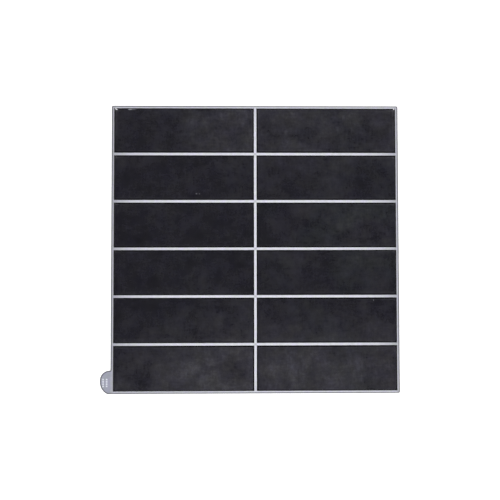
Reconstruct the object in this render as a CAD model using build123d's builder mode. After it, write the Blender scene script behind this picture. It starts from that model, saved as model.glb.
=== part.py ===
from build123d import *
import math
import os

# A self-adhesive backsplash sheet lying face up: paper liner, printed film with a tab, raised gel tiles.
# Lengths are in mm. The origin is the centre of the square sheet's underside, +X to the right and
# +Y up the wall as the tiles are read, +Z out of the tiled face.

# The grid of gel tiles. With the border it makes the usual 12 in square sheet.
column_names = ("left", "right")
rows = 6
tile_length = 148.2
tile_width = 47.4
grout_width = 3.0
border_width = 2.7

# The layers, from the back up.
liner_thickness = 0.15
film_thickness = 0.35
gel_thickness = 1.65

# The die-cut outline: a square with small round corners and a tab at the lower left, which the
# next sheet is laid over. The tab is round above, and below it sweeps in to the sheet's bottom edge.
sheet_corner_radius = 1.5
tab_reach = 11.0
tab_height = 24.3
tab_root_radius = 0.9
tab_roundness = 0.99
tab_foot_share = 0.7

# The edge of a gel tile. The resin is poured level and stops at the tile's outline, so its section
# there is the edge of a puddle: at a depth d below the level top its slope is 2 asin(d / 2c), where
# c is the resin's capillary length. The edge is lofted in narrow ruled bands through the contours
# that have these slopes in degrees, from the foot, whose slope follows from the thickness. Inwards
# the corners grow rounder.
capillary_length = 1.8
contour_slopes = (48, 41, 34, 27, 20, 14, 9, 5, 1.5)
foot_corner_radius = 1.0
corner_growth = 0.5

# Worked out from the values above.
columns = len(column_names)
column_pitch = tile_length + grout_width
row_pitch = tile_width + grout_width
sheet_width = columns * column_pitch - grout_width + 2 * border_width
sheet_height = rows * row_pitch - grout_width + 2 * border_width
sheet_right = sheet_width / 2
sheet_top = sheet_height / 2
tab_left = -sheet_right - tab_reach
tab_top = -sheet_top + tab_height
tab_middle = -sheet_top + tab_height / 2
tab_foot = tab_left + tab_foot_share * tab_reach
tab_corner_radius = tab_roundness * min(tab_reach - tab_root_radius, tab_height / 2)
film_top = liner_thickness + film_thickness
foot_slope = 2 * math.asin(gel_thickness / (2 * capillary_length))
edge_slopes = [foot_slope, *[math.radians(slope) for slope in contour_slopes]]

os.makedirs("parts", exist_ok=True)

# The outline that one die cuts through film and liner together.
with BuildSketch() as die_cut_outline:
    with BuildLine():
        Polyline(
            (tab_foot, -sheet_top),
            (sheet_right, -sheet_top),
            (sheet_right, sheet_top),
            (-sheet_right, sheet_top),
            (-sheet_right, tab_top),
            (tab_left, tab_top),
            (tab_left, tab_middle),
        )
        TangentArc((tab_left, tab_middle), (tab_foot, -sheet_top), tangent=(0, -1))
    make_face()
    tab_corner = die_cut_outline.vertices().group_by(Axis.X)[0].sort_by(Axis.Y)[-1]
    fillet(tab_corner, tab_corner_radius)
    left_edge = die_cut_outline.vertices().filter_by_position(Axis.X, -sheet_right, -sheet_right)
    tab_root = left_edge.sort_by(Axis.Y)[0]
    fillet(tab_root, tab_root_radius)
    right_corners = die_cut_outline.vertices().group_by(Axis.X)[-1]
    top_left_corner = die_cut_outline.vertices().group_by(Axis.Y)[-1].sort_by(Axis.X)[0]
    fillet([*right_corners, top_left_corner], sheet_corner_radius)

# The siliconised paper that is peeled off the adhesive.
with BuildPart() as release_liner:
    add(die_cut_outline.sketch)
    extrude(amount=liner_thickness)
release_liner.part.label = "release_liner"
export_step(release_liner.part, "parts/release_liner.step")

# The printed vinyl film with the adhesive on its back. It is the border, the grout lines and the tab.
with BuildPart() as printed_film:
    with BuildSketch(Plane.XY.offset(liner_thickness)):
        add(die_cut_outline.sketch)
    extrude(amount=film_thickness)
printed_film.part.label = "printed_film"
export_step(printed_film.part, "parts/printed_film.step")


# How far in the edge of a puddle has this slope, counted from a line of its own.
def puddle_reach(slope):
    return -capillary_length * (math.log(math.tan(slope / 4)) + 2 * math.cos(slope / 2))


# One level contour of a gel tile's edge: how far it is inside the tile's outline, how high it is
# above the film, and its corner radius. The last one is the rim of the level top.
def contour(slope):
    inset = puddle_reach(slope) - puddle_reach(foot_slope)
    depth = 2 * capillary_length * math.sin(slope / 2)
    last_depth = 2 * capillary_length * math.sin(edge_slopes[-1] / 2)
    rise = gel_thickness * (gel_thickness - depth) / (gel_thickness - last_depth)
    return inset, rise, foot_corner_radius + corner_growth * inset


# A gel tile is lofted through the contours, from its foot to its level top.
def build_gel_tile(center_x, center_y):
    with BuildPart() as gel_tile:
        for slope in edge_slopes:
            inset, rise, corner = contour(slope)
            with BuildSketch(Plane((center_x, center_y, film_top + rise))):
                RectangleRounded(tile_length - 2 * inset, tile_width - 2 * inset, corner)
        loft(ruled=True)
    return gel_tile.part


for row in range(rows):
    for column, side in enumerate(column_names):
        tile = build_gel_tile(
            (column - (columns - 1) / 2) * column_pitch,
            ((rows - 1) / 2 - row) * row_pitch,
        )
        tile.label = f"gel_tile_row_{row + 1}_{side}"
        export_step(tile, f"parts/{tile.label}.step")

print(f"sheet {sheet_width:.1f} x {sheet_height:.1f}, {film_top + gel_thickness:.2f} thick")
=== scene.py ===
import bpy
import bmesh
import math
from mathutils import Euler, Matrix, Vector, noise


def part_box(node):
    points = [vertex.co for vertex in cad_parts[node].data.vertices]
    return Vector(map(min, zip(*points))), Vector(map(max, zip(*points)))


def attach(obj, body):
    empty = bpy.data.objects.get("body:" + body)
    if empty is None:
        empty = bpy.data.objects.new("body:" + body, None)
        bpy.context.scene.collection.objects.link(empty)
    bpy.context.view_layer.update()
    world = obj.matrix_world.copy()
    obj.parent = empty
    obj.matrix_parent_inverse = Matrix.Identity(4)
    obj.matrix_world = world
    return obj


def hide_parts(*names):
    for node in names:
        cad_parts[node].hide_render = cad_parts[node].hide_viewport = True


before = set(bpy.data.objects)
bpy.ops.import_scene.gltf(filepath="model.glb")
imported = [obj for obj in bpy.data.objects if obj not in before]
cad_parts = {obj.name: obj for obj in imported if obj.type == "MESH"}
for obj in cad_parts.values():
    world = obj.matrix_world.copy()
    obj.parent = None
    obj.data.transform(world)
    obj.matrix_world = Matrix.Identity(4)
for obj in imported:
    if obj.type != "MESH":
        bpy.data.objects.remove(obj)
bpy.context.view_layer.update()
mm = 0.001
print("frame loaded,", len(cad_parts), "pieces")

scene = bpy.context.scene
scene.view_settings.view_transform = "Standard"

# The sheet's own measures, read from the frame
tileNames = sorted(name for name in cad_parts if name.startswith("gel_tile"))
tileBoxes = {name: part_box(name) for name in tileNames}
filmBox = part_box("printed_film")
gridHalfX = max(high.x for low, high in tileBoxes.values())    # outer side of the outer tiles
gridHalfY = max(high.y for low, high in tileBoxes.values())
sheetHalf = filmBox[1].x                                       # the square sheet, tab left out
borderWidth = sheetHalf - gridHalfX
groutHalf = tileBoxes["gel_tile_row_1_right"][0].x
columnPitch = gridHalfX + groutHalf
rowPitch = tileBoxes["gel_tile_row_1_left"][0].y - tileBoxes["gel_tile_row_2_left"][0].y


# Camera

cameraSetup = {
    "place": (-17.14 * mm, -26.49 * mm, 735.9 * mm),
    "tilt": (1.960, -0.889, -0.089),      # degrees, from looking straight down
    "lens": 50,
    "sensor": 36,
    "nearest": 10.0 * mm,
}


def makeCamera():
    lens = bpy.data.cameras.new("frontCamera")
    lens.lens = cameraSetup["lens"]
    lens.sensor_width = cameraSetup["sensor"]
    lens.clip_start = cameraSetup["nearest"]
    camera = bpy.data.objects.new("frontCamera", lens)
    camera.location = cameraSetup["place"]
    camera.rotation_euler = Euler([math.radians(turn) for turn in cameraSetup["tilt"]])
    scene.collection.objects.link(camera)
    scene.camera = camera


# Node helpers

white = (1.0, 1.0, 1.0, 1.0)
cloudMiddle = 0.5
cloudSpread = (0.35, 0.65)      # nearly all of a cloud lies between these
wideSpread = (0.3, 0.7)         # the same for a grainy one


def newMaterial(name):
    material = bpy.data.materials.new(name)
    material.use_nodes = True
    tree = material.node_tree
    return material, tree, tree.nodes["Principled BSDF"]


def addNode(tree, kind, links=(), **settings):
    node = tree.nodes.new(kind)
    for key, value in settings.items():
        setattr(node, key, value)
    for socket, source in dict(links).items():
        setInput(tree, node, socket, source)
    return node


def setInput(tree, node, socket, source):
    if isinstance(source, bpy.types.NodeSocket):
        tree.links.new(source, node.inputs[socket])
    else:
        node.inputs[socket].default_value = source


def objectPlace(tree):
    return addNode(tree, "ShaderNodeTexCoord").outputs["Object"]


def attribute(tree, name):
    return addNode(tree, "ShaderNodeAttribute", attribute_name=name).outputs["Fac"]


def compute(tree, operation, first, second=0.0):
    return addNode(tree, "ShaderNodeMath", {0: first, 1: second}, operation=operation).outputs[0]


def remap(tree, value, low, high, newLow=0.0, newHigh=1.0, smooth=True):
    links = {"Value": value, "From Min": low, "From Max": high, "To Min": newLow, "To Max": newHigh}
    kind = "SMOOTHSTEP" if smooth else "LINEAR"
    return addNode(tree, "ShaderNodeMapRange", links, interpolation_type=kind).outputs["Result"]


def below(tree, value, limit, blur):
    # 1 where the value is under the limit, 0 where it is over it
    return remap(tree, value, limit - blur, limit + blur, 1.0, 0.0)


def cloud(tree, vector, scale, detail, rough, warp=0.0):
    links = {"Vector": vector, "Scale": scale, "Detail": detail, "Roughness": rough, "Distortion": warp}
    return addNode(tree, "ShaderNodeTexNoise", links).outputs["Fac"]


def stretched(tree, vector, scale, turn):
    links = {"Vector": vector, "Rotation": (0.0, 0.0, math.radians(turn)), "Scale": scale}
    return addNode(tree, "ShaderNodeMapping", links).outputs["Vector"]


def mixed(tree, share, first, second):
    return addNode(tree, "ShaderNodeMix", {0: share, 2: first, 3: second}).outputs[0]


def blendColour(tree, share, first, second, kind="MIX"):
    node = addNode(tree, "ShaderNodeMix", data_type="RGBA", blend_type=kind)
    setInput(tree, node, "Factor", share)
    setInput(tree, node, 6, first)
    setInput(tree, node, 7, second)
    return node.outputs[2]


def tinted(tree, colour, tint):
    return blendColour(tree, 1.0, colour, tint, "MULTIPLY")


def shaded(tree, colour, shade):
    grey = addNode(tree, "ShaderNodeCombineColor", {0: shade, 1: shade, 2: shade}).outputs[0]
    return tinted(tree, colour, grey)


def colourRamp(tree, value, stops):
    node = addNode(tree, "ShaderNodeValToRGB", {"Fac": value})
    ramp = node.color_ramp
    while len(ramp.elements) < len(stops):
        ramp.elements.new(1.0)
    for element, (place, colour) in zip(ramp.elements, stops):
        element.position = place
        element.color = colour
    return node.outputs["Color"]


def bumpFrom(tree, height, distance):
    links = {"Height": height, "Strength": 1.0, "Distance": distance}
    return addNode(tree, "ShaderNodeBump", links).outputs["Normal"]


def tone(red, green, blue):
    # a colour written in 0-255 screen values
    def toLinear(value):
        value /= 255
        return value / 12.92 if value <= 0.04045 else ((value + 0.055) / 1.055) ** 2.4
    return (toLinear(red), toLinear(green), toLinear(blue), 1.0)


# Gel tiles

gelTile = {
    "capillary": 1.8 * mm,      # capillary length of the poured resin, which sets its edge's curve
    "levelSlope": 1.5,          # degrees at which the edge counts as level
    "edgeRows": 14,
    "footCorner": 1.0 * mm,
    "cornerGrowth": 0.5,        # how fast the contours' corners grow rounder on the way in
    "relaxRows": 5,             # rows inside the edge over which the round corner fades
    "topStep": 1.2 * mm,
    "waveDepth": 0.05 * mm,     # long shallow waves in the poured top
    "waveLength": 34.0 * mm,
    "waveStart": 0.4,           # where on the edge they set in, as a share of its width
    "waveJump": 0.5,            # metres between the places where two tiles' waves are cut from
    "printJump": (0.61, 0.37),  # the same for their prints, along and across
    # how light the print is at the tile's left and right end, partly its own tone from tile to tile and
    # partly painted reflection, where along the tile it turns from one to the other, how much painted
    # reflection lightens its bottom against its top, and how grey green it drifts
    "tones": {
        "row_1_left": (0.01, 0.12, 0.5, -0.04, 0.2),
        "row_1_right": (0.105, 0.085, 0.5, -0.05, 0.3),
        "row_2_left": (-0.01, 0.02, 0.5, -0.04, 0.15),
        "row_2_right": (0.035, 0.04, 0.5, -0.04, 0.3),
        "row_3_left": (0.0, -0.01, 0.5, -0.02, 0.15),
        "row_3_right": (-0.03, 0.06, 0.25, -0.02, 0.9),
        "row_4_left": (-0.01, 0.01, 0.5, -0.02, 0.2),
        "row_4_right": (0.02, 0.03, 0.4, -0.03, 0.8),
        "row_5_left": (0.0, 0.05, 0.4, 0.06, 0.2),
        "row_5_right": (0.03, 0.05, 0.5, 0.04, 0.4),
        "row_6_left": (0.06, 0.14, 0.55, 0.02, 0.15),
        "row_6_right": (0.10, 0.12, 0.5, 0.01, 0.3),
    },
}


def clamped(share):
    return min(1.0, max(0.0, share))


def eased(share):
    return share * share * (3 - 2 * share)


def edgeContour(share, height):
    # the edge of a puddle: how far in, and how high, it is where its slope has fallen by this share
    capillary = gelTile["capillary"]
    foot = 2 * math.asin(height / (2 * capillary))
    level = math.radians(gelTile["levelSlope"])
    top = height - 2 * capillary * math.sin(level / 2)
    def reach(slope):
        return -capillary * (math.log(math.tan(slope / 4)) + 2 * math.cos(slope / 2))
    slope = foot + (level - foot) * share
    rise = height - 2 * capillary * math.sin(slope / 2)
    return reach(slope) - reach(foot), rise * height / top


def linePlace(index, count, half, insets):
    # where grid line number index runs: close together in the curved edge, even on the top
    rows = gelTile["edgeRows"]
    fromEnd = min(index, count - index)
    inset = insets[min(fromEnd, rows)]
    if fromEnd > rows:
        inset += (half - inset) * (fromEnd - rows) / (count / 2 - rows)
    return inset - half if index <= count / 2 else half - inset


def roundCorner(x, y, halfX, halfY, radius):
    # a point in the corner of a sharp rectangle moves onto, or inside, the round one
    across = (abs(x) - (halfX - radius)) / radius
    up = (abs(y) - (halfY - radius)) / radius
    if across <= 0 or up <= 0:
        return x, y
    newX = halfX - radius + radius * across * math.sqrt(1 - up * up / 2)
    newY = halfY - radius + radius * up * math.sqrt(1 - across * across / 2)
    return math.copysign(newX, x), math.copysign(newY, y)


def makeGelTile(name, number):
    low, high = tileBoxes[name]
    middle = (low + high) / 2
    halfX, halfY = (high.x - low.x) / 2, (high.y - low.y) / 2
    height = high.z - low.z
    rows = gelTile["edgeRows"]
    contours = [edgeContour(ring / rows, height) for ring in range(rows + 1)]
    insets = [inset for inset, rise in contours]
    edgeWidth = insets[-1]
    columnsAcross = 2 * (rows + round((halfX - edgeWidth) / gelTile["topStep"]))
    rowsUp = 2 * (rows + round((halfY - edgeWidth) / gelTile["topStep"]))

    # a grid, its lines drawn together in the edge and its rings rounded at the corners
    bm = bmesh.new()
    bmesh.ops.create_grid(bm, x_segments=columnsAcross, y_segments=rowsUp, size=0.5)
    fromFoot = bm.verts.layers.float.new("fromFoot")
    toneAndSheen = bm.verts.layers.float.new("toneAndSheen")
    greyGreen = bm.verts.layers.float.new("greyGreen")
    leftToneAndSheen, rightToneAndSheen, turn, lowSheen, green = gelTile["tones"][name.removeprefix("gel_tile_")]
    for vert in bm.verts:
        column = round((vert.co.x + 0.5) * columnsAcross)
        row = round((vert.co.y + 0.5) * rowsUp)
        ring = min(column, columnsAcross - column, row, rowsUp - row)
        inset, rise = contours[min(ring, rows)]
        x = linePlace(column, columnsAcross, halfX, insets)
        y = linePlace(row, rowsUp, halfY, insets)
        radius = gelTile["footCorner"] + gelTile["cornerGrowth"] * inset
        if ring > rows:
            radius *= max(0.0, 1 - (ring - rows) / gelTile["relaxRows"])
        if radius > 0:
            ringX = -linePlace(ring, columnsAcross, halfX, insets)
            ringY = -linePlace(ring, rowsUp, halfY, insets)
            x, y = roundCorner(x, y, ringX, ringY, radius)

        # waves in the top
        fromEdge = min(halfX - abs(x), halfY - abs(y))
        settled = clamped(fromEdge / edgeWidth - gelTile["waveStart"])
        place = Vector((x, y, number * gelTile["waveJump"])) / gelTile["waveLength"]
        wave = 0.5 + 0.5 * noise.noise(place)
        z = rise - gelTile["waveDepth"] * eased(settled) * wave

        along = clamped((x / halfX + 1) / 2 - turn + 0.5)
        vert[fromFoot] = inset
        # the print's own tone and painted reflection, graded from top to bottom
        vert[toneAndSheen] = leftToneAndSheen + (rightToneAndSheen - leftToneAndSheen) * eased(along) - lowSheen * y / halfY / 2
        vert[greyGreen] = green * min(1.0, 2 * along)
        vert.co = (middle.x + x, middle.y + y, low.z + z)

    # the flat base, sharp where it meets the edge, and the tile's own part of the print
    rim = [edge for edge in bm.edges if edge.is_boundary]
    for edge in rim:
        edge.smooth = False
    base = bmesh.ops.holes_fill(bm, edges=rim, sides=0)["faces"]
    bmesh.ops.recalc_face_normals(bm, faces=bm.faces)
    printMap = bm.loops.layers.uv.new("printMap")
    jumpX, jumpY = gelTile["printJump"]
    for face in bm.faces:
        face.smooth = face not in base
        for loop in face.loops:
            loop[printMap].uv = (loop.vert.co.x + jumpX * number, loop.vert.co.y + jumpY * number)
    mesh = bpy.data.meshes.new(name + "_gel")
    bm.to_mesh(mesh)
    bm.free()
    tile = bpy.data.objects.new(name + "_gel", mesh)
    scene.collection.objects.link(tile)
    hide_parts(name)
    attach(tile, "root")
    return tile


charcoalPrint = {
    "tones": [                  # the mottle's colours, from its darkest parts to its palest
        (0.38, tone(9, 8, 15)),
        (0.50, tone(29, 28, 35.5)),
        (0.65, tone(48, 47, 53.5)),
        (0.80, tone(68, 67, 74)),
    ],
    "usualTone": 0.5,           # where in them a tile of tone 0 lies
    "mottle": [                 # clouds, patches and flecks: how many in a metre, their detail,
        ((12.0, 2.0, 0.5, 0.2), 0.10),        # roughness and warp, and each layer's share
        ((27.0, 3.0, 0.5, 0.3), 0.23),
        ((62.0, 3.0, 0.55, 0.2), 0.16),
        ((130.0, 4.0, 0.6, 0.1), 0.15),
        ((340.0, 4.0, 0.6), 0.12),
        ((1000.0, 3.0, 0.7), 0.12),
    ],
    "strokes": [                # a faint weave: how many in a metre along and across, turn, share
        ((480.0, 110.0, 1.0), 3, 0.09),
        ((100.0, 420.0, 1.0), -5, 0.08),
    ],
    "strokeCloud": (1.0, 3.0, 0.6),
    "contrast": (0.82, 1.5),    # the lighter tiles are mottled more strongly,
    "contrastTones": (0.0, 0.10),         # between these tones
    "bluer": (1.0, 0.985, 1.10, 1.0),     # the print drifts between these two
    "warmer": (1.01, 1.0, 0.90, 1.0),
    "hueCloud": (58.0, 6.0, 0.75),
    "greenShift": (0.90, 1.03, 0.93, 1.0),    # what the grey green patches do to the colour
    "greenCloud": (17.0, 3.0, 0.5),
    "greenSpread": (0.40, 0.56),
    "rimShade": 0.03,           # painted shade: how much of its colour is left at the foot of the edge
    "rimReach": (1.0 * mm, 1.5 * mm),     # how far from the foot it comes back
    "innerHighlight": 1.3,           # a fine painted highlight follows, this much lighter
    "highlightReach": (1.7 * mm, 2.6 * mm),   # where it ends
    "gloss": (0.17, 0.25),
    "smearCloud": (55.0, 3.0, 0.5, 0.8),
    "ripple": 0.04 * mm,        # height of the faint orange peel in the gloss
    "peelCloud": (150.0, 2.0, 0.4),
    "spotEdge": (0.55, 1.15),   # a speck or painted glint fades between these shares of its half size
    "specks": [                 # dust caught under the gel: place, half width and half height, in mm
        (-62.3, 58.3, 1.0, 0.7),
        (-59.2, 58.2, 0.45, 0.5),
        (124.9, -54.6, 0.5, 0.95),
    ],
    "speckTone": tone(88, 88, 94),
    "paintedGlints": [                   # painted highlights, glints on the gel's edge and corners: the same, their turn and their tone
        (-130.8, 148.2, 4.8, 0.7, 0, tone(88, 88, 94)),
        (-132.9, 148.3, 2.3, 0.8, 0, tone(138, 138, 144)),
        (-147.6, 148.7, 1.7, 0.75, -35, tone(245, 245, 250)),
        (148.4, 149.2, 1.3, 0.65, 45, tone(240, 240, 245)),
    ],
}


def spotMask(tree, place, x, y, halfWide, halfHigh, turn=0):
    # 1 on an ellipse of the sheet, 0 outside it
    links = {
        "Vector": place,
        "Location": (x * mm, y * mm, 0.0),
        "Rotation": (0.0, 0.0, math.radians(turn)),
        "Scale": (halfWide * mm, halfHigh * mm, 1.0),
    }
    local = addNode(tree, "ShaderNodeMapping", links, vector_type="TEXTURE").outputs["Vector"]
    links = {0: local, 1: (1.0, 1.0, 0.0)}
    flat = addNode(tree, "ShaderNodeVectorMath", links, operation="MULTIPLY").outputs[0]
    away = addNode(tree, "ShaderNodeVectorMath", {0: flat}, operation="LENGTH").outputs["Value"]
    return remap(tree, away, *charcoalPrint["spotEdge"], 1.0, 0.0)


def printMottle(tree, place, toneAndSheen):
    layers = [(cloud(tree, place, *setup), share) for setup, share in charcoalPrint["mottle"]]
    for scale, turn, share in charcoalPrint["strokes"]:
        strokes = stretched(tree, place, scale, turn)
        layers.append((cloud(tree, strokes, *charcoalPrint["strokeCloud"]), share))
    mottle = 0.0
    for layer, share in layers:
        part = compute(tree, "MULTIPLY", compute(tree, "SUBTRACT", layer, cloudMiddle), share)
        mottle = compute(tree, "ADD", part, mottle)
    contrast = remap(tree, toneAndSheen, *charcoalPrint["contrastTones"], *charcoalPrint["contrast"])
    mottle = compute(tree, "MULTIPLY", mottle, contrast)
    return compute(tree, "ADD", compute(tree, "ADD", toneAndSheen, charcoalPrint["usualTone"]), mottle)


def makeCharcoalGel():
    material, tree, shader = newMaterial("charcoalGel")
    place = addNode(tree, "ShaderNodeUVMap", uv_map="printMap").outputs["UV"]
    pattern = printMottle(tree, place, attribute(tree, "toneAndSheen"))
    colour = colourRamp(tree, pattern, charcoalPrint["tones"])

    # the hue drifts, and goes to grey green in parts of some tiles
    hue = remap(tree, cloud(tree, place, *charcoalPrint["hueCloud"]), *cloudSpread)
    drift = blendColour(tree, hue, charcoalPrint["bluer"], charcoalPrint["warmer"])
    colour = tinted(tree, colour, drift)
    patches = cloud(tree, place, *charcoalPrint["greenCloud"])
    green = remap(tree, patches, *charcoalPrint["greenSpread"])
    green = compute(tree, "MULTIPLY", green, attribute(tree, "greyGreen"))
    colour = tinted(tree, colour, blendColour(tree, green, white, charcoalPrint["greenShift"]))

    onSheet = objectPlace(tree)
    for speck in charcoalPrint["specks"]:
        mask = spotMask(tree, onSheet, *speck)
        colour = blendColour(tree, mask, colour, charcoalPrint["speckTone"])

    # painted shade takes the edge nearly black, a fine painted highlight lies inside it, and painted
    # glints lie over them
    fromFoot = attribute(tree, "fromFoot")
    shade = remap(tree, fromFoot, *charcoalPrint["rimReach"], charcoalPrint["rimShade"], 1.0)
    paintedHighlight = remap(tree, fromFoot, *charcoalPrint["highlightReach"], charcoalPrint["innerHighlight"], 1.0)
    colour = shaded(tree, colour, compute(tree, "MULTIPLY", shade, paintedHighlight))
    for *spot, glintTone in charcoalPrint["paintedGlints"]:
        colour = blendColour(tree, spotMask(tree, onSheet, *spot), colour, glintTone)
    setInput(tree, shader, "Base Color", colour)

    smears = cloud(tree, place, *charcoalPrint["smearCloud"])
    roughness = remap(tree, smears, *cloudSpread, *charcoalPrint["gloss"])
    setInput(tree, shader, "Roughness", roughness)
    peel = cloud(tree, place, *charcoalPrint["peelCloud"])
    setInput(tree, shader, "Normal", bumpFrom(tree, peel, charcoalPrint["ripple"]))
    return material


# Film

film = {
    "weld": 0.001 * mm,         # how near the frame's points are when they become one
    "flat": 0.5,                # degrees under which its triangles become one face
    "lip": 0.12 * mm,           # round of the cut edge
    "lipSteps": 3,
    "lipRise": (0.02, 0.98),    # how steeply that round's faces look up, by which they are found
    "rimWidth": 1.15 * mm,      # width of the painted shade line along the outline
}
greyFilm = {
    "tones": [                  # by the distance from the sheet's left or right side, in mm, with painted shade darkening the grout towards the sides
        (0.0, tone(157, 159, 175)),
        (2.9, tone(172, 173, 183)),
        (9.0, tone(186, 187, 196)),
        (22.0, tone(203, 204, 214)),
        (42.0, tone(212, 213, 223)),
        (69.0, tone(217, 218, 228)),
        (110.0, tone(219, 220, 230)),
    ],
    "endShade": 0.84,           # at the ends of the upright grout line
    "endReach": 14.0 * mm,
    "acrossLean": (0.97, 1.03), # painted light: the grout lines are a little lighter to the right
    "border": tone(186, 187, 197),
    "borderBlur": 0.3 * mm,
    "borderLean": (0.80, 1.0),  # painted shade: the border is darker at the left,
    "borderLeanTo": 0.6,        # up to this share of the sheet's width
    "borderEnds": 1.28,         # and painted light makes it lighter along the top and bottom
    "tabBlur": 0.2 * mm,
    "cutShade": 0.28,           # the outline's dark line
    "cutFade": (0.7, 1.0),      # where across that line it ends
    "crossingShade": 0.70,      # where two grout lines cross
    "crossingReach": (0.4 * mm, 2.2 * mm),
    "printAndShadeMargin": 0.18 * mm,   # how far the dark line round the tiles reaches outside the gel: the print's margin and painted shade at the gel's foot
    "printBlur": 0.04 * mm,
    "print": tone(16, 15, 20),
    "mottle": (0.94, 1.06),
    "mottleCloud": (260.0, 5.0, 0.65, 0.4),
    "cool": (1.01, 0.99, 1.05, 1.0),    # the film's grey drifts between these two
    "warm": (0.99, 1.01, 0.95, 1.0),
    "driftCloud": (160.0, 3.0, 0.5),
    "rough": (0.42, 0.54),
    "grainDepth": 0.02 * mm,
    "grainCloud": (1400.0, 3.0, 0.6),
}
tabMarks = {                    # plain dashes in two columns, in mm
    "columns": (-160.1, -156.4),
    "halfWide": 0.85,
    "low": -145.2,
    "high": -136.0,
    "pitch": 2.35,
    "dash": 1.65,
    "blur": 0.2,
    "spare": 0.1,               # beyond the last dash
    "ink": tone(218, 221, 231),
}


def topFace(bm):
    return max(bm.faces, key=lambda face: face.normal.z * face.calc_area())


def makeFilm():
    # the cut sheet of the frame, merged, with its top edge rounded and a line inset along it
    bm = bmesh.new()
    bm.from_mesh(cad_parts["printed_film"].data)
    bmesh.ops.remove_doubles(bm, verts=bm.verts, dist=film["weld"])
    flat = math.radians(film["flat"])
    bmesh.ops.dissolve_limit(bm, angle_limit=flat, verts=bm.verts, edges=bm.edges)
    bmesh.ops.bevel(bm, geom=list(topFace(bm).edges), affect="EDGES", offset=film["lip"],
                    segments=film["lipSteps"], profile=0.5, material=-1)
    bmesh.ops.inset_region(bm, faces=[topFace(bm)], thickness=film["rimWidth"], use_even_offset=True)
    fromCut = bm.verts.layers.float.new("fromCut")
    for vert in topFace(bm).verts:
        vert[fromCut] = 1.0
    lowest, highest = film["lipRise"]
    for face in bm.faces:
        face.smooth = lowest < face.normal.z < highest
    mesh = bpy.data.meshes.new("printed_film_cut")
    bm.to_mesh(mesh)
    bm.free()
    sheet = bpy.data.objects.new("printed_film_cut", mesh)
    scene.collection.objects.link(sheet)
    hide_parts("printed_film")
    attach(sheet, "root")
    return sheet


def filmGreys(tree, place, alongX, alongY, toColumn, toRow):
    # grout lines by their distance from the sides, with painted shade towards the sides, and a border
    # of its own
    insideX = compute(tree, "SUBTRACT", sheetHalf, compute(tree, "ABSOLUTE", alongX))
    insideY = compute(tree, "SUBTRACT", sheetHalf, compute(tree, "ABSOLUTE", alongY))
    span = greyFilm["tones"][-1][0]
    stops = [(distance / span, colour) for distance, colour in greyFilm["tones"]]
    grout = colourRamp(tree, compute(tree, "DIVIDE", insideX, span * mm), stops)
    onTab = below(tree, insideX, 0.0, greyFilm["tabBlur"])
    edging = blendColour(tree, onTab, greyFilm["border"], greyFilm["tones"][0][1])
    inside = compute(tree, "MINIMUM", insideX, insideY)
    onBorder = below(tree, inside, borderWidth, greyFilm["borderBlur"])
    colour = blendColour(tree, onBorder, grout, edging)

    # painted light and shade: both get lighter to the right, and the border is lighter along the top
    # and bottom
    acrossSheet = compute(tree, "ADD", compute(tree, "DIVIDE", alongX, 2 * sheetHalf), 0.5)
    groutLean = remap(tree, acrossSheet, 0.0, 1.0, *greyFilm["acrossLean"], smooth=False)
    borderLean = remap(tree, acrossSheet, 0.0, greyFilm["borderLeanTo"], *greyFilm["borderLean"])
    toEnds = compute(tree, "SUBTRACT", insideX, insideY)
    onEnds = remap(tree, toEnds, 0.0, borderWidth, 1.0, greyFilm["borderEnds"])
    borderLean = compute(tree, "MULTIPLY", borderLean, onEnds)
    borderLean = mixed(tree, onTab, borderLean, 1.0)
    shade = mixed(tree, onBorder, groutLean, borderLean)

    # painted shade darkens the crossings, the upright line's ends and a line along the cut outline
    away = compute(tree, "MAXIMUM", toColumn, toRow)
    crossing = remap(tree, away, *greyFilm["crossingReach"], greyFilm["crossingShade"], 1.0)
    endReach = borderWidth + greyFilm["endReach"]
    ends = remap(tree, insideY, borderWidth, endReach, greyFilm["endShade"], 1.0)
    crossing = compute(tree, "MULTIPLY", crossing, ends)
    shade = compute(tree, "MULTIPLY", shade, mixed(tree, onBorder, crossing, 1.0))
    fromCut = attribute(tree, "fromCut")
    cut = remap(tree, fromCut, *greyFilm["cutFade"], greyFilm["cutShade"], 1.0)
    shade = compute(tree, "MULTIPLY", shade, cut)
    mottle = cloud(tree, place, *greyFilm["mottleCloud"])
    mottle = remap(tree, mottle, *wideSpread, *greyFilm["mottle"])
    colour = shaded(tree, colour, compute(tree, "MULTIPLY", shade, mottle))
    drift = remap(tree, cloud(tree, place, *greyFilm["driftCloud"]), *cloudSpread)
    return tinted(tree, colour, blendColour(tree, drift, greyFilm["cool"], greyFilm["warm"]))


def printMask(tree, alongX, alongY, toColumn, toRow):
    # 1 under the gel tiles and in a fine line round them, which is print and painted shade at the gel's
    # foot
    beyondX = compute(tree, "SUBTRACT", compute(tree, "ABSOLUTE", alongX), gridHalfX)
    beyondY = compute(tree, "SUBTRACT", compute(tree, "ABSOLUTE", alongY), gridHalfY)
    awayX = compute(tree, "MAXIMUM", compute(tree, "SUBTRACT", groutHalf, toColumn), beyondX)
    awayY = compute(tree, "MAXIMUM", compute(tree, "SUBTRACT", groutHalf, toRow), beyondY)
    away = compute(tree, "MAXIMUM", awayX, awayY)
    return below(tree, away, greyFilm["printAndShadeMargin"], greyFilm["printBlur"])


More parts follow.
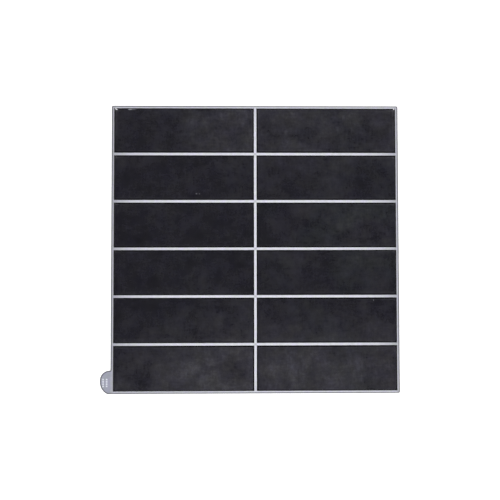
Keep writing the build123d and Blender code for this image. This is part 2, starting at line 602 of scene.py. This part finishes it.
def tabMask(tree, alongX, alongY):
    # 1 on the dashes of the tab
    blur = tabMarks["blur"] * mm
    columns = 0.0
    for column in tabMarks["columns"]:
        off = compute(tree, "ABSOLUTE", compute(tree, "SUBTRACT", alongX, column * mm))
        columns = compute(tree, "MAXIMUM", below(tree, off, tabMarks["halfWide"] * mm, blur), columns)
    halfDash = tabMarks["dash"] / 2
    fromLow = compute(tree, "SUBTRACT", alongY, (tabMarks["low"] + halfDash) * mm)
    toDash = compute(tree, "PINGPONG", fromLow, tabMarks["pitch"] / 2 * mm)
    dashes = below(tree, toDash, halfDash * mm, blur)
    middle = (tabMarks["low"] + tabMarks["high"]) / 2
    halfReach = (tabMarks["high"] - tabMarks["low"]) / 2 + tabMarks["spare"]
    reach = compute(tree, "ABSOLUTE", compute(tree, "SUBTRACT", alongY, middle * mm))
    within = compute(tree, "LESS_THAN", reach, halfReach * mm)
    return compute(tree, "MULTIPLY", compute(tree, "MULTIPLY", columns, dashes), within)


def makeGreyFilm():
    material, tree, shader = newMaterial("greyFilm")
    place = objectPlace(tree)
    parts = addNode(tree, "ShaderNodeSeparateXYZ", {0: place})
    alongX, alongY = parts.outputs["X"], parts.outputs["Y"]
    toColumn = compute(tree, "PINGPONG", alongX, columnPitch / 2)      # to the nearest grout line
    toRow = compute(tree, "PINGPONG", alongY, rowPitch / 2)
    colour = filmGreys(tree, place, alongX, alongY, toColumn, toRow)
    printed = printMask(tree, alongX, alongY, toColumn, toRow)
    colour = blendColour(tree, printed, colour, greyFilm["print"])
    colour = blendColour(tree, tabMask(tree, alongX, alongY), colour, tabMarks["ink"])
    setInput(tree, shader, "Base Color", colour)

    grain = cloud(tree, place, *greyFilm["grainCloud"])
    setInput(tree, shader, "Roughness", remap(tree, grain, *wideSpread, *greyFilm["rough"]))
    setInput(tree, shader, "Normal", bumpFrom(tree, grain, greyFilm["grainDepth"]))
    return material


# Liner

linerPaper = {
    "paper": tone(236, 235, 229),
    "fibre": tone(216, 214, 206),
    "fibreCloud": (900.0, 6.0, 0.7, 2.5),
    "flockCloud": (130.0, 4.0, 0.6, 1.0),
    "fibreShare": 0.6,          # the fibres' share in the colour, the flocks have the rest
    "fibreSpread": (0.38, 0.62),
    "gloss": (0.36, 0.52),      # where the silicone lies thicker and thinner
    "relief": 0.02 * mm,
}


def makeLinerPaper():
    material, tree, shader = newMaterial("linerPaper")
    place = objectPlace(tree)
    fibres = cloud(tree, place, *linerPaper["fibreCloud"])
    flocks = cloud(tree, place, *linerPaper["flockCloud"])
    fromFibres = compute(tree, "MULTIPLY", fibres, linerPaper["fibreShare"])
    fromFlocks = compute(tree, "MULTIPLY", flocks, 1 - linerPaper["fibreShare"])
    dark = remap(tree, compute(tree, "ADD", fromFibres, fromFlocks), *linerPaper["fibreSpread"])
    colour = blendColour(tree, dark, linerPaper["paper"], linerPaper["fibre"])
    setInput(tree, shader, "Base Color", colour)
    setInput(tree, shader, "Roughness", remap(tree, flocks, *cloudSpread, *linerPaper["gloss"]))
    setInput(tree, shader, "Normal", bumpFrom(tree, fibres, linerPaper["relief"]))
    return material


# Floor and light

studio = {
    "floorHalf": 6.0,
    "floorGap": 0.05 * mm,
    "floorTone": (0.8, 0.8, 0.8, 1.0),
    "floorRough": 0.9,
    "floorLift": (0.45, 1.0),    # added where the floor is seen, near and far, so that it reads white
    "floorFade": (0.7, 2.6),     # metres from the middle between which it goes from one to the other
    "dim": 0.08,                 # the room overhead, as the gloss sees it
    "horizon": (0.08, 0.30),     # the gloss sees white up to here, as the sine of the height in the sky
    "banks": {                   # name: (place, aimed at, size, radiance, seen in the gloss)
        "upperLeft": ((-0.95, 0.95, 1.15), (0, 0, 0), (0.9, 0.9), 0.8, True),
        "upperRight": ((0.95, 0.95, 1.15), (0, 0, 0), (0.9, 0.9), 0.8, True),
        "lowPanel": ((0.05, -0.80, 1.6), (0.05, -0.80, 0), (1.5, 0.8), 0.15, True),
        "frontWall": ((0.0, -2.3, 0.5), (0, 0, 0), (5.0, 0.9), 0.5, True),
        "fill": ((0.0, -0.1, 1.9), (0, 0, 0), (2.2, 2.2), 2.80, False),
    },
}


def mirroredRays(tree, rays):
    return compute(tree, "MAXIMUM", rays["Is Glossy Ray"], rays["Is Transmission Ray"])


def makeFloor():
    bm = bmesh.new()
    bmesh.ops.create_grid(bm, x_segments=1, y_segments=1, size=studio["floorHalf"])
    bmesh.ops.translate(bm, verts=bm.verts, vec=(0, 0, -studio["floorGap"]))
    mesh = bpy.data.meshes.new("studioFloor")
    bm.to_mesh(mesh)
    bm.free()
    floor = bpy.data.objects.new("studioFloor", mesh)
    scene.collection.objects.link(floor)
    material, tree, shader = newMaterial("palePaper")
    setInput(tree, shader, "Base Color", studio["floorTone"])
    setInput(tree, shader, "Roughness", studio["floorRough"])
    rays = addNode(tree, "ShaderNodeLightPath").outputs
    seen = compute(tree, "MAXIMUM", rays["Is Camera Ray"], mirroredRays(tree, rays))
    place = objectPlace(tree)
    away = addNode(tree, "ShaderNodeVectorMath", {0: place}, operation="LENGTH").outputs["Value"]
    lift = remap(tree, away, *studio["floorFade"], *studio["floorLift"])
    setInput(tree, shader, "Emission Color", white)
    setInput(tree, shader, "Emission Strength", compute(tree, "MULTIPLY", seen, lift))
    mesh.materials.append(material)


def makeWorld():
    world = bpy.data.worlds.new("studioRoom")
    scene.world = world
    world.use_nodes = True
    tree = world.node_tree
    background = tree.nodes["Background"]
    rays = addNode(tree, "ShaderNodeLightPath").outputs
    direction = addNode(tree, "ShaderNodeTexCoord").outputs["Generated"]
    rise = addNode(tree, "ShaderNodeSeparateXYZ", {0: direction}).outputs["Z"]
    low = remap(tree, rise, *studio["horizon"], 1.0, 0.0)
    mirrored = compute(tree, "MULTIPLY", mirroredRays(tree, rays), low)
    seen = compute(tree, "MAXIMUM", rays["Is Camera Ray"], mirrored)
    strength = remap(tree, seen, 0.0, 1.0, studio["dim"], 1.0, smooth=False)
    setInput(tree, background, "Color", white)
    setInput(tree, background, "Strength", strength)


def makeBank(name, place, target, size, radiance, seen):
    light = bpy.data.lights.new(name, "AREA")
    light.shape = "RECTANGLE"
    light.size, light.size_y = size
    light.energy = radiance * math.pi * size[0] * size[1]      # watts for that radiance
    bank = bpy.data.objects.new(name, light)
    bank.location = place
    bank.rotation_mode = "QUATERNION"
    bank.rotation_quaternion = (Vector(target) - Vector(place)).to_track_quat("-Z", "Y")
    bank.visible_glossy = seen
    scene.collection.objects.link(bank)


# Build

makeCamera()
print("camera set")
charcoalGel = makeCharcoalGel()
for number, name in enumerate(tileNames):
    makeGelTile(name, number).data.materials.append(charcoalGel)
print("gel tiles poured,", len(tileNames))
makeFilm().data.materials.append(makeGreyFilm())
print("film cut and printed")
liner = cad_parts["release_liner"].data
liner.materials.clear()
liner.materials.append(makeLinerPaper())
print("liner finished")
makeFloor()
makeWorld()
for name, setup in studio["banks"].items():
    makeBank(name, *setup)
print("lights set")
